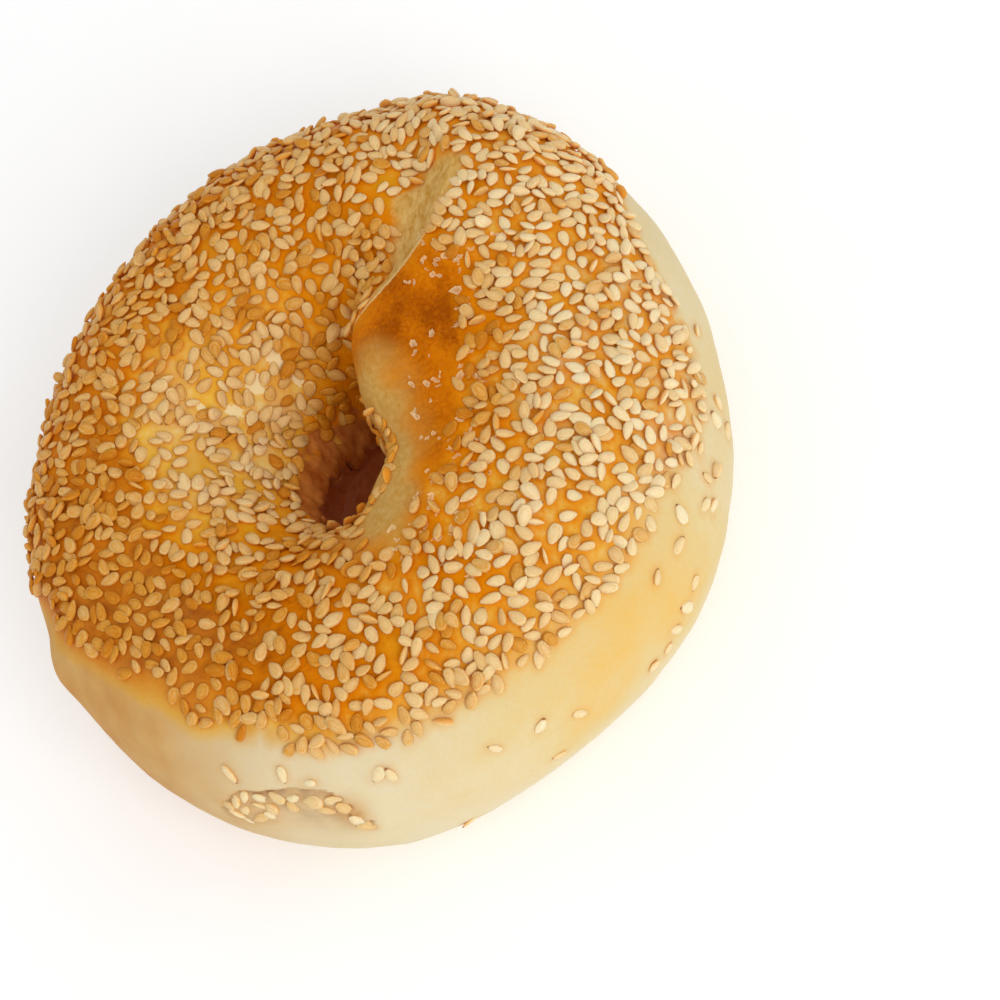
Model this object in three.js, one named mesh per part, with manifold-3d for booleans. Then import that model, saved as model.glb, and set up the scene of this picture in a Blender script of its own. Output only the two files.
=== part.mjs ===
// A sesame bagel: one ring of baked dough with its seeds fused on.
// Millimetres, +Z up. The bagel lies on its flat base, which is at z = 0, and the
// origin is under the middle of the ring.
//
// A point of the dough is named by two angles in degrees. The ring angle runs round
// the hole, anticlockwise from +X as seen from above. The rope angle runs round the
// rope of dough: 0 on the outside, 90 on the crown, 180 in the hole, 270 on the base.
import * as THREE from 'three';
import { mergeVertices } from 'three/addons/utils/BufferGeometryUtils.js';
import Module from 'manifold-3d';

const ring = {
  centre: [0.75, -0.75],     // middle of the ring, which brings its outline over the origin
  outerRadius: 55.6,
  outerSwells: [
    { waves: 1, size: 0.5, peak: 200 },
    { waves: 2, size: 2.5, peak: 88 },
    { waves: 3, size: 0.8, peak: 208 },
  ],
  throatRadius: 8.4,         // the narrowest part of the hole, half way up
  throatSwells: [
    { waves: 1, size: 2.4, peak: 195 },
    { waves: 2, size: 3.4, peak: 98 },
  ],
};

const rope = {
  bellyHeight: 17,           // where the rope is widest
  crownRise: 22.3,           // crown above the belly
  crownSwells: [{ waves: 1, size: 1.2, peak: 5 }],
  baseReach: 21.3,           // how far a round underside would reach below the belly
  baseEase: 2.5,             // softness of the bend where the side meets the flat base
  upperRoundness: 0.88,      // 1 is an ellipse, less is squarer
  lowerOuterRoundness: 0.82,
  lowerInnerRoundness: 0.62,
  crownLean: 0.24,           // crown leans away from the hole on one side, over it on the other
  crownLeanAt: 178,
  tuck: 0.24,                // the underside closes in on the hole here
  tuckAt: 135,
};

// Local pushes: everything within reach of a place is moved, most at the place itself.
const pushes = {
  lipOverHole: { at: [13, 10, 38], move: [-8, 1, 1.5], reach: 19 },
  funnelIntoHole: { at: [-12, 2, 34], move: [-1.5, 0, -3.5], reach: 18 },
  ledgeInHole: { at: [-8, 7, 9], move: [3.4, -2.8, 0], reach: 13 },
  roundedLip: { at: [9, -14, 34], move: [-1.5, 0.5, 0], reach: 12 },
  slimmerFoot: { at: [33, -47, 8], move: [-1.3, 1.8, 0], reach: 34 },
  tearInSide: { at: [-5, -58, 23], move: [0.2, 2.2, -0.8], reach: 11 },
};

// One end of the rope of dough lies over the other along a bent line across the crown.
const lap = {
  lineX: 12.2,               // the line is furthest right at lineY and bends left to both sides
  lineY: 29,
  nearBend: 0.043,           // how fast it bends towards the hole, and away from it
  farBend: 0.012,
  startY: 12,
  startEase: 14,
  farY: 26,                  // the step turns softer beyond this
  farEase: 14,
  step: 2.4,
  nearSlope: 2.2,
  farSlope: 6,
  spread: 20,
  ditch: 2,
  ditchHalfWidth: 6,
  ditchOffset: 2,
  lowestHeight: 20,
  heightEase: 10,
  overhang: 1.2,             // the upper end also sticks out further at the rim
  overhangFrom: 6,
  overhangEase: 12,
};

const seed = {
  length: 3.2,
  width: 2.0,
  thickness: 1.1,
  pointedness: 0.5,          // how much narrower one end is
  sides: 6,
  rise: 0.28,                // its middle above the dough
  tilt: 14,                  // most that a seed tips, in degrees
  spacing: 4.3,              // least distance between two seeds
  count: 245,
  randomStart: 20261,
};

const seedBorder = {
  meanHeight: 28,            // seeds stop at this height on the outside
  swing: 5.5,                // and higher or lower round the ring by this
  highestAt: -105,
  holeDepth: 15,             // lowest seeds on the wall of the hole
  wallFrom: 120,             // rope angles of that wall
  wallTo: 230,
};

const barePatch = { x: 9.5, y: 3.5, halfX: 9.5, halfY: 21 };
const bareValley = { fromY: 14, toY: 42, halfWidth: 3 };
const tearSeeds = { x: -5, y: -56, z: 24, reach: 8 };

const ropeSteps = 28;
const ringSteps = 70;
const degree = Math.PI / 180;

const { smoothstep } = THREE.MathUtils;

function swell(list, angle) {
  let sum = 0;
  for (const { waves, size, peak } of list) {
    sum += size * Math.cos(waves * (angle - peak) * degree);
  }
  return sum;
}

function roundedCos(angle, roundness) {
  const value = Math.cos(angle * degree);
  return Math.sign(value) * Math.abs(value) ** roundness;
}

// The base is cut flat at z = 0, with a soft bend up to the side.
function settle(z) {
  const soft = rope.baseEase;
  if (z >= soft) return z;
  if (z <= -soft) return 0;
  return (z + soft) ** 2 / (4 * soft);
}

function push(point, { at, move, reach }) {
  const distance = point.distanceTo(new THREE.Vector3(...at));
  const share = 1 - smoothstep(distance / reach, 0, 1);
  point.addScaledVector(new THREE.Vector3(...move), share);
}

function lapDistance(x, y) {
  const along = y - lap.lineY;
  const bend = along < 0 ? lap.nearBend : lap.farBend;
  return x - (lap.lineX - bend * along ** 2);
}

function foldLap(point) {
  const past = lapDistance(point.x, point.y);
  const along = smoothstep((point.y - lap.startY) / lap.startEase, 0, 1);
  const far = smoothstep((point.y - lap.farY) / lap.farEase, 0, 1);
  const slope = lap.nearSlope + (lap.farSlope - lap.nearSlope) * far;
  const top = smoothstep((point.z - lap.lowestHeight) / lap.heightEase, 0, 1);
  const fade = Math.exp(-((Math.max(past - slope, 0) / lap.spread) ** 2));
  const up = smoothstep(past / slope, 0, 1) * fade;
  const down = 1 - smoothstep(Math.abs(past + lap.ditchOffset) / lap.ditchHalfWidth, 0, 1);
  const side = smoothstep((point.z - lap.overhangFrom) / lap.overhangEase, 0, 1);
  const outward = lap.overhang * far * up * side / Math.hypot(point.x, point.y);
  point.z += top * along * (lap.step * up - lap.ditch * down);
  point.x += outward * point.x;
  point.y += outward * point.y;
}

// The surface of the dough at a ring angle and a rope angle.
function doughPoint(ringAngle, ropeAngle) {
  const outer = ring.outerRadius + swell(ring.outerSwells, ringAngle);
  const throat = ring.throatRadius + swell(ring.throatSwells, ringAngle);
  const half = (outer - throat) / 2;
  const height = Math.sin(ropeAngle * degree);
  const upper = height > 0;
  const outside = Math.cos(ropeAngle * degree) > 0;
  const lowerRoundness = outside ? rope.lowerOuterRoundness : rope.lowerInnerRoundness;
  const lean = rope.crownLean * Math.cos((ringAngle - rope.crownLeanAt) * degree);
  const tuckShare = smoothstep((1 + Math.cos((ringAngle - rope.tuckAt) * degree)) / 2, 0, 1);
  const sideways = upper ? lean : -rope.tuck * tuckShare;
  const across = roundedCos(ropeAngle, upper ? rope.upperRoundness : lowerRoundness);
  const radius = (outer + throat) / 2 + half * (across + sideways * height ** 2);
  const crown = rope.crownRise + swell(rope.crownSwells, ringAngle);
  const z = rope.bellyHeight + height * (upper ? crown : rope.baseReach);
  const point = new THREE.Vector3(
    radius * Math.cos(ringAngle * degree),
    radius * Math.sin(ringAngle * degree),
    settle(z),
  );
  for (const one of Object.values(pushes)) push(point, one);
  foldLap(point);
  return point;
}

function doughNormal(ringAngle, ropeAngle) {
  const step = 0.5;
  const alongRing = doughPoint(ringAngle + step, ropeAngle).sub(doughPoint(ringAngle - step, ropeAngle));
  const alongRope = doughPoint(ringAngle, ropeAngle + step).sub(doughPoint(ringAngle, ropeAngle - step));
  return alongRing.cross(alongRope).normalize();
}

function bare(geometry) {
  geometry.deleteAttribute('normal');
  geometry.deleteAttribute('uv');
  return mergeVertices(geometry);
}

// The torus only gives the two angles of each vertex, and the dough takes its place.
function doughGeometry() {
  const middle = 2;
  const geometry = bare(new THREE.TorusGeometry(middle, 1, ropeSteps, ringSteps));
  const position = geometry.getAttribute('position');
  for (let i = 0; i < position.count; i++) {
    const x = position.getX(i);
    const y = position.getY(i);
    const ringAngle = Math.atan2(y, x) / degree;
    const ropeAngle = Math.atan2(position.getZ(i), Math.hypot(x, y) - middle) / degree;
    const point = doughPoint(ringAngle, ropeAngle);
    position.setXYZ(i, point.x, point.y, point.z);
  }
  return geometry;
}

// A flat drop along +X, pointed at one end.
function seedGeometry() {
  const geometry = bare(new THREE.SphereGeometry(1, seed.sides, 2).rotateX(90 * degree));
  const position = geometry.getAttribute('position');
  for (let i = 0; i < position.count; i++) {
    const x = position.getX(i);
    const narrowing = 1 - seed.pointedness * smoothstep(x, 0, 1);
    position.setXYZ(
      i,
      x * seed.length / 2,
      position.getY(i) * narrowing * seed.width / 2,
      position.getZ(i) * seed.thickness / 2,
    );
  }
  return geometry;
}

// Repeatable random numbers from 0 to 1.
function randomNumbers(start) {
  let state = start;
  return () => {
    state = (state + 0x6d2b79f5) | 0;
    let mixed = Math.imul(state ^ (state >>> 15), 1 | state);
    mixed = (mixed + Math.imul(mixed ^ (mixed >>> 7), 61 | mixed)) ^ mixed;
    return ((mixed ^ (mixed >>> 14)) >>> 0) / 2 ** 32;
  };
}

function takesSeeds(point, ringAngle, ropeAngle) {
  const tear = new THREE.Vector3(tearSeeds.x, tearSeeds.y, tearSeeds.z);
  if (point.distanceTo(tear) < tearSeeds.reach) return true;
  const swing = seedBorder.swing * Math.cos((ringAngle - seedBorder.highestAt) * degree);
  const inHole = ropeAngle > seedBorder.wallFrom && ropeAngle < seedBorder.wallTo;
  const lowest = inHole ? seedBorder.holeDepth : seedBorder.meanHeight + swing;
  if (point.z < lowest) return false;
  const patchX = (point.x - barePatch.x) / barePatch.halfX;
  const patchY = (point.y - barePatch.y) / barePatch.halfY;
  if (Math.hypot(patchX, patchY) < 1) return false;
  const valley = Math.abs(lapDistance(point.x, point.y) + lap.ditchOffset) < bareValley.halfWidth;
  return !(valley && point.y > bareValley.fromY && point.y < bareValley.toY);
}

// Seeds fall all over the ring, and stay where the dough takes them and there is room.
function seedPlaces() {
  const random = randomNumbers(seed.randomStart);
  const places = [];
  while (places.length < seed.count) {
    const ringAngle = 360 * random();
    const ropeAngle = 360 * random();
    const turn = 360 * random();
    const tips = [random(), random()].map((share) => seed.tilt * (2 * share - 1));
    const point = doughPoint(ringAngle, ropeAngle);
    if (!takesSeeds(point, ringAngle, ropeAngle)) continue;
    if (places.some((other) => other.point.distanceTo(point) < seed.spacing)) continue;
    places.push({ point, normal: doughNormal(ringAngle, ropeAngle), turn, tips });
  }
  return places;
}

function placedSeed({ point, normal, turn, tips }) {
  const geometry = seedGeometry();
  geometry.rotateX(tips[0] * degree);
  geometry.rotateY(tips[1] * degree);
  geometry.rotateZ(turn * degree);
  geometry.applyQuaternion(new THREE.Quaternion().setFromUnitVectors(new THREE.Vector3(0, 0, 1), normal));
  const middle = point.clone().addScaledVector(normal, seed.rise);
  geometry.translate(middle.x, middle.y, middle.z);
  return geometry;
}

const wasm = await Module();
wasm.setup();

function solidOf(geometry) {
  const vertProperties = Float32Array.from(geometry.getAttribute('position').array);
  const triVerts = Uint32Array.from(geometry.getIndex().array);
  return new wasm.Manifold(new wasm.Mesh({ numProp: 3, vertProperties, triVerts }));
}

function geometryOf(solid) {
  const { numProp, vertProperties, triVerts } = solid.getMesh();
  const geometry = new THREE.BufferGeometry();
  geometry.setAttribute('position', new THREE.BufferAttribute(vertProperties, numProp));
  geometry.setIndex(new THREE.BufferAttribute(triVerts, 1));
  return geometry;
}

// Where the dough curves in between two flat facets a seed can miss it: such scraps go.
function largestPiece(solid) {
  return solid.decompose().reduce((best, piece) => (piece.volume() > best.volume() ? piece : best));
}

function bagelGeometry() {
  let solid = solidOf(doughGeometry());
  for (const place of seedPlaces()) solid = solid.add(solidOf(placedSeed(place)));
  const geometry = geometryOf(largestPiece(solid));
  geometry.translate(ring.centre[0], ring.centre[1], 0);
  geometry.computeVertexNormals();
  return geometry;
}

const crust = new THREE.MeshStandardMaterial({ color: 0xc98a2a, roughness: 0.5, metalness: 0 });
const bagel = new THREE.Mesh(bagelGeometry(), crust);
bagel.name = 'bagel';

const group = new THREE.Group();
group.add(bagel);

export default group;
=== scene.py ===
import math
import bmesh
import bpy
import numpy as np
from mathutils import Matrix, Vector, noise
from mathutils.kdtree import KDTree


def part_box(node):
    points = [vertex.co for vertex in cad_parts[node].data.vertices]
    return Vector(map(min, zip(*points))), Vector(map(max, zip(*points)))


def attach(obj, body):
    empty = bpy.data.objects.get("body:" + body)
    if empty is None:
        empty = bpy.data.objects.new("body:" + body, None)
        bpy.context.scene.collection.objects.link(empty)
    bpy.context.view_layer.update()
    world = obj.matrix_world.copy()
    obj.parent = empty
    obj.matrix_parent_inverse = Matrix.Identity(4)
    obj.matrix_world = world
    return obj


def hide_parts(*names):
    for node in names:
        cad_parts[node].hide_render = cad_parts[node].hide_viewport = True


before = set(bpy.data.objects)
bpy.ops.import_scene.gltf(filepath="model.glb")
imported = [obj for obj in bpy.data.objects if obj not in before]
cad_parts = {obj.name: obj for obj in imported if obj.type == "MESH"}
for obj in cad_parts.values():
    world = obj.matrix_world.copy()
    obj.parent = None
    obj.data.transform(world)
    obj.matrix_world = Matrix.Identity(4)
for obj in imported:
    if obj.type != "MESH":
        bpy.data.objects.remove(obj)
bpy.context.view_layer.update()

bpy.ops.object.select_all(action="DESELECT")
bagelLow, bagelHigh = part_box("bagel")
print("frame loaded, bagel is", [round(side, 4) for side in bagelHigh - bagelLow])


def turned(degrees, axis):
    return Matrix.Rotation(math.radians(degrees), 3, axis)


# Camera

camera = {
    "azimuth": 40.0,  # degrees, 0 looks along +Y
    "elevation": 54.6,
    "roll": 40.3,
    "distance": 0.45,
    "lens": 108.9,
    "sensor": 36.0,
    "target": (0.00075, -0.00075, 0.018),
    "targetPixel": (384.1, 468.9),  # where the target shows in a picture of 1000 by 1000
    "pictureSize": 1000,
}


def addCamera(look):
    azimuth = math.radians(look["azimuth"])
    elevation = math.radians(look["elevation"])
    back = Vector((
        math.sin(azimuth) * math.cos(elevation),
        -math.cos(azimuth) * math.cos(elevation),
        math.sin(elevation),
    ))
    upright = (-back).to_track_quat("-Z", "Y")
    rolled = upright @ turned(-look["roll"], "Z").to_quaternion()
    half = look["pictureSize"] / 2
    pixelSize = look["sensor"] / look["lens"] / look["pictureSize"]
    aside = Vector((
        (look["targetPixel"][0] - half) * pixelSize,
        (half - look["targetPixel"][1]) * pixelSize,
        -1.0,
    ))
    turn = aside.rotation_difference(Vector((0.0, 0.0, -1.0)))
    bpy.ops.object.camera_add(location=Vector(look["target"]) + back * look["distance"])
    view = bpy.context.object
    view.name = "studioCamera"
    view.rotation_mode = "QUATERNION"
    view.rotation_quaternion = rolled @ turn
    view.data.lens = look["lens"]
    view.data.sensor_width = look["sensor"]
    bpy.context.scene.camera = view


addCamera(camera)
print("camera placed")


# Dough

dough = {
    "centre": (0.00075, -0.00075),
    "outerRadius": 0.0556,
    "outerSwells": ((1, 0.0005, 200), (2, 0.0025, 88), (3, 0.0008, 208)),  # waves, size, peak angle
    "throatRadius": 0.0084,
    "throatSwells": ((1, 0.0024, 195), (2, 0.0034, 98)),
    "bellyHeight": 0.017,
    "crownRise": 0.0223,
    "crownSwells": ((1, 0.0012, 5),),
    "baseReach": 0.0213,
    "baseEase": 0.0025,
    "upperRoundness": 0.88,
    "lowerOuterRoundness": 0.82,
    "lowerInnerRoundness": 0.62,
    "crownLean": 0.24,
    "crownLeanAt": 178,
    "tuck": 0.24,
    "tuckAt": 135,
    "torusRadii": (0.032, 0.020),
    "ringSteps": 200,
    "ropeSteps": 112,
    "pushes": (  # place, move, reach
        ((0.013, 0.010, 0.038), (-0.008, 0.001, 0.0015), 0.019),  # lip over the hole
        ((-0.012, 0.002, 0.034), (-0.0015, 0.0, -0.0035), 0.018),  # funnel into the hole
        ((-0.008, 0.007, 0.009), (0.0034, -0.0028, 0.0), 0.013),  # ledge in the hole
        ((0.009, -0.012, 0.035), (-0.0024, 0.0006, 0.0), 0.012),  # rounded lip
        ((-0.003, 0.011, 0.002), (0.0034, -0.0044, 0.0), 0.011),  # foot of the wall in the hole
        ((0.033, -0.047, 0.008), (-0.0013, 0.0018, 0.0), 0.034),  # slimmer foot
        ((-0.005, -0.058, 0.023), (0.0002, 0.0010, -0.0004), 0.011),  # tear in the side
        ((-0.0440, -0.0330, 0.0280), (-0.0012, -0.0010, 0.0), 0.007),  # lump under the seeds
    ),
}

lap = {
    "lineX": 0.0122,
    "lineY": 0.029,
    "nearBend": 43.0,  # how fast the line turns towards the hole, per metre
    "farBend": 12.0,
    "start": (0.012, 0.014),  # y, and the length over which it sets in
    "far": (0.026, 0.014),
    "step": 0.0024,
    "nearSlope": 0.0016,
    "farSlope": 0.006,
    "spread": 0.020,
    "ditch": 0.0020,
    "ditchHalfWidth": 0.006,
    "ditchOffset": 0.002,
    "ditchFade": 0.9,
    "lowest": (0.020, 0.010),
    "overhang": 0.0012,
    "overhangLowest": (0.006, 0.012),
    "blend": (0.036, 0.012),  # further out the step turns into a gentle rise
    "blendWidth": 0.008,
}


def smoothStep(value):
    share = np.clip(value, 0.0, 1.0)
    return share * share * (3.0 - 2.0 * share)


def rise(value, start, over):
    # from 0 at the start to 1 further up
    return smoothStep((value - start) / over)


def fall(value, end, over):
    # down from 1, and 0 at the end
    return smoothStep((end - value) / over)


def toward(value, goal, share):
    return value + (goal - value) * share


def swell(waves, angle):
    return sum(size * np.cos(count * (angle - math.radians(peak))) for count, size, peak in waves)


def cloud(places, size, seed=0.0):
    return np.array([noise.noise(Vector(p) / size + Vector((seed, seed, seed))) for p in places])


def around(angle, middle, reach):
    away = np.abs((np.degrees(angle) - middle + 180) % 360 - 180)
    return smoothStep(1 - away / reach)


def tableAt(angle, table):
    angles, values = zip(*table)
    middle = (angles[0] + angles[-1]) / 2
    turned = (np.degrees(angle) - middle + 180) % 360 - 180 + middle
    return np.interp(turned, angles, values)


def lengthAt(angle, table):
    # for tables in millimetres
    return tableAt(angle, table) * 0.001


def readPlaces(mesh):
    places = np.empty(len(mesh.vertices) * 3, dtype=np.float32)
    mesh.vertices.foreach_get("co", places)
    return places.reshape(-1, 3).astype(float)


def writePlaces(mesh, places):
    mesh.vertices.foreach_set("co", places.astype(np.float32).ravel())
    mesh.update()


def fromMiddle(places):
    # the shape is worked out from the middle of the ring
    return places - np.array((*dough["centre"], 0.0))


def ringOf(places):
    # x, y and z with the ring angle and the distance from the middle
    x, y, z = places.T
    return x, y, z, np.arctan2(y, x), np.hypot(x, y)


def ropeMiddle(angle):
    outer = dough["outerRadius"] + swell(dough["outerSwells"], angle)
    throat = dough["throatRadius"] + swell(dough["throatSwells"], angle)
    return (outer + throat) / 2, (outer - throat) / 2


def shapeDough(mesh):
    z, angle, radius = ringOf(readPlaces(mesh))[2:]
    ropeAngle = np.arctan2(z, radius - dough["torusRadii"][0])
    middle, half = ropeMiddle(angle)
    height = np.sin(ropeAngle)
    upper = height > 0
    lowerRoundness = np.where(
        np.cos(ropeAngle) > 0, dough["lowerOuterRoundness"], dough["lowerInnerRoundness"]
    )
    roundness = np.where(upper, dough["upperRoundness"], lowerRoundness)
    across = np.sign(np.cos(ropeAngle)) * np.abs(np.cos(ropeAngle)) ** roundness
    lean = dough["crownLean"] * np.cos(angle - math.radians(dough["crownLeanAt"]))
    tuck = dough["tuck"] * smoothStep((1 + np.cos(angle - math.radians(dough["tuckAt"]))) / 2)
    radius = middle + half * (across + np.where(upper, lean, -tuck) * height**2)
    crown = dough["crownRise"] + swell(dough["crownSwells"], angle)
    z = dough["bellyHeight"] + height * np.where(upper, crown, dough["baseReach"])
    soft = dough["baseEase"]
    settled = np.where(z <= -soft, 0.0, (z + soft) ** 2 / (4 * soft))
    z = np.where(z >= soft, z, settled)
    writePlaces(mesh, np.stack([radius * np.cos(angle), radius * np.sin(angle), z], axis=1))


def pullDough(place, move, reach):
    # a loose helper vertex carries the proportional pull and is deleted after it
    bpy.ops.mesh.select_all(action="DESELECT")
    editMesh = bmesh.from_edit_mesh(bpy.context.object.data)
    helper = editMesh.verts.new(place)
    helper.select_set(True)
    bmesh.update_edit_mesh(bpy.context.object.data)
    bpy.ops.transform.translate(
        value=move,
        use_proportional_edit=True,
        proportional_edit_falloff="SMOOTH",
        proportional_size=reach,
    )
    bpy.ops.mesh.delete(type="VERT")


def lapDistance(places):
    along = places[:, 1] - lap["lineY"]
    bend = np.where(along < 0, lap["nearBend"], lap["farBend"])
    return places[:, 0] - (lap["lineX"] - bend * along**2)


def lapSlope(y):
    return toward(lap["nearSlope"], lap["farSlope"], rise(y, *lap["far"]))


def foldLap(mesh):
    places = readPlaces(mesh)
    x, y, z = places.T
    past = lapDistance(places)
    slope = lapSlope(y)
    beyond = rise(y, *lap["blend"])
    start = lap["blendWidth"] * beyond
    settling = np.exp(-((np.maximum(past - slope, 0) / lap["spread"]) ** 2))
    up = smoothStep((past + start) / (slope + start)) * settling
    down = 1 - smoothStep(np.abs(past + lap["ditchOffset"]) / lap["ditchHalfWidth"])
    down = down * (1 - lap["ditchFade"] * beyond)
    step = rise(z, *lap["lowest"]) * rise(y, *lap["start"])
    step = step * (lap["step"] * up - lap["ditch"] * down)
    far = rise(y, *lap["far"])
    side = rise(z, *lap["overhangLowest"])
    outward = lap["overhang"] * far * up * side / np.hypot(x, y)
    places[:, 2] += step
    places[:, :2] *= (1 + outward)[:, None]
    writePlaces(mesh, places)


def applyModifier(kind, **settings):
    modifier = bpy.context.object.modifiers.new(kind.lower(), kind)
    for name, value in settings.items():
        setattr(modifier, name, value)
    bpy.ops.object.modifier_apply(modifier=modifier.name)


def setGroup(piece, name, weights, levels=32):
    group = piece.vertex_groups.new(name=name)
    steps = np.round(np.clip(weights, 0, 1) * levels).astype(int)
    for step in range(1, levels + 1):
        members = np.nonzero(steps == step)[0]
        if len(members):
            group.add(members.tolist(), step / levels, "REPLACE")


def addDough():
    bpy.ops.mesh.primitive_torus_add(
        major_segments=dough["ringSteps"],
        minor_segments=dough["ropeSteps"],
        major_radius=dough["torusRadii"][0],
        minor_radius=dough["torusRadii"][1],
    )
    piece = bpy.context.object
    piece.name = "crust"
    piece.data.name = "crust"
    shapeDough(piece.data)
    bpy.ops.object.mode_set(mode="EDIT")
    for place, move, reach in dough["pushes"]:
        pullDough(place, move, reach)
    bpy.ops.object.mode_set(mode="OBJECT")
    applyModifier("SUBSURF", levels=1, render_levels=1)
    foldLap(piece.data)
    return piece


crust = addDough()
print("dough shaped,", len(crust.data.polygons), "faces")


# Relief of the crust

relief = {
    "layers": (  # name, where, size and depth of the noise, height, level that stays in place
        ("swells", "offBase", 0.016, 1, 0.0010, 0.5),
        ("wrinkles", "offBase", 0.0042, 2, 0.00022, 0.5),
        ("tornDough", "tear", 0.0034, 2, 0.0009, 0.55),
        ("tornWall", "tornWall", 0.0016, 2, 0.0011, 0.5),
    ),
    "baseFade": (0.0006, 0.006),
    "tearLine": (  # ring angle, height in mm of the crease over the torn patch
        (-109, 20.5), (-107, 23.8), (-104, 26.6), (-98, 27.3), (-93, 27.8), (-90, 27.1),
        (-88, 25.8), (-86, 22.4), (-85, 19.0),
    ),
    "tearAt": -96.8,  # degrees
    "tearHalfWidth": (12.3, 1.2),  # degrees, and over how many it ends
    "tearEdge": 0.0008,
    "tearFoot": (0.0165, 0.004),
    "tearFade": 0.0080,
    "tearUnevenness": 0.0007,
    "creaseWidth": 0.0004,
    "creaseDepth": 0.0007,
    "ledge": (  # ring angle, height in mm of the torn edge over the cavity in the hole
        (100, 12.0), (122, 13.6), (144, 13.8), (167, 16.2), (192, 18.7), (215, 19.6),
        (228, 22.5), (250, 25.0),
    ),
    "wallTop": (  # ring angle, height in mm at which the torn wall starts
        (100, 16.0), (119, 19.0), (137, 21.5), (155, 23.0), (180, 24.5), (215, 26.5), (245, 28.0),
    ),
    "wallSide": (172, 100),  # ring angle and reach
    "wallEdge": 0.0015,
    "ledgeEdge": 0.0009,
    "ledgeUnevenness": 0.0021,
    "cavityDepth": 0.0036,
}


def wallZone(places):
    # how deep a place lies under the start of the torn wall, and under its ragged edge
    z, angle, radius = ringOf(places)[2:]
    inside = radius < ropeMiddle(angle)[0]
    side = smoothStep(around(angle, *relief["wallSide"]) * inside * 4)
    uneven = cloud(places, 0.0030, 21.0) + 0.5 * cloud(places, 0.0011, 22.0)
    uneven = relief["ledgeUnevenness"] * uneven
    wall = fall(z, lengthAt(angle, relief["wallTop"]) + uneven, relief["wallEdge"])
    under = fall(z, lengthAt(angle, relief["ledge"]) + uneven, relief["ledgeEdge"])
    return wall * side, under * side


def tearZone(places):
    # the torn patch in the side, the crease that bounds it from above, and the shade below that
    z, angle, radius = ringOf(places)[2:]
    outside = radius > ropeMiddle(angle)[0]
    uneven = relief["tearUnevenness"] * cloud(places, 0.0024, 31.0)
    crease = lengthAt(angle, relief["tearLine"]) + uneven
    aside = np.abs(np.degrees(angle) - relief["tearAt"])
    within = fall(aside, *relief["tearHalfWidth"]) * outside
    foot = rise(z, *relief["tearFoot"])
    patch = within * fall(z, crease, relief["tearEdge"]) * foot
    line = np.exp(-(((z - crease) / relief["creaseWidth"]) ** 2))
    near = np.exp(-np.maximum(crease - z, 0) / relief["tearFade"])
    return patch, within * line, patch * near


def carveHollows(mesh):
    places = readPlaces(mesh)
    radius = np.hypot(places[:, 0], places[:, 1])
    depth = relief["cavityDepth"] * wallZone(places)[1] * rise(places[:, 2], 0, relief["baseFade"][1])
    depth = depth - relief["creaseDepth"] * tearZone(places)[1]
    places[:, :2] *= (1 + depth / radius)[:, None]
    writePlaces(mesh, places)


def addRelief(piece):
    carveHollows(piece.data)
    places = readPlaces(piece.data)
    offBase = rise(places[:, 2], *relief["baseFade"])
    setGroup(piece, "offBase", offBase)
    setGroup(piece, "tear", tearZone(places)[0] * offBase)
    setGroup(piece, "tornWall", wallZone(places)[0] * offBase)
    for name, group, size, depth, height, level in relief["layers"]:
        texture = bpy.data.textures.new(name, "CLOUDS")
        texture.noise_scale = size
        texture.noise_depth = depth
        applyModifier(
            "DISPLACE",
            texture=texture,
            texture_coords="LOCAL",
            strength=height,
            mid_level=level,
            vertex_group=group,
        )
    places = readPlaces(piece.data) + np.array((*dough["centre"], 0.0))
    places[:, 2] = np.maximum(places[:, 2], 0.0)
    writePlaces(piece.data, places)
    bpy.ops.object.shade_smooth()


addRelief(crust)
print("crust relief done")


# Where the crust is browned, pale, golden or dusted

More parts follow.
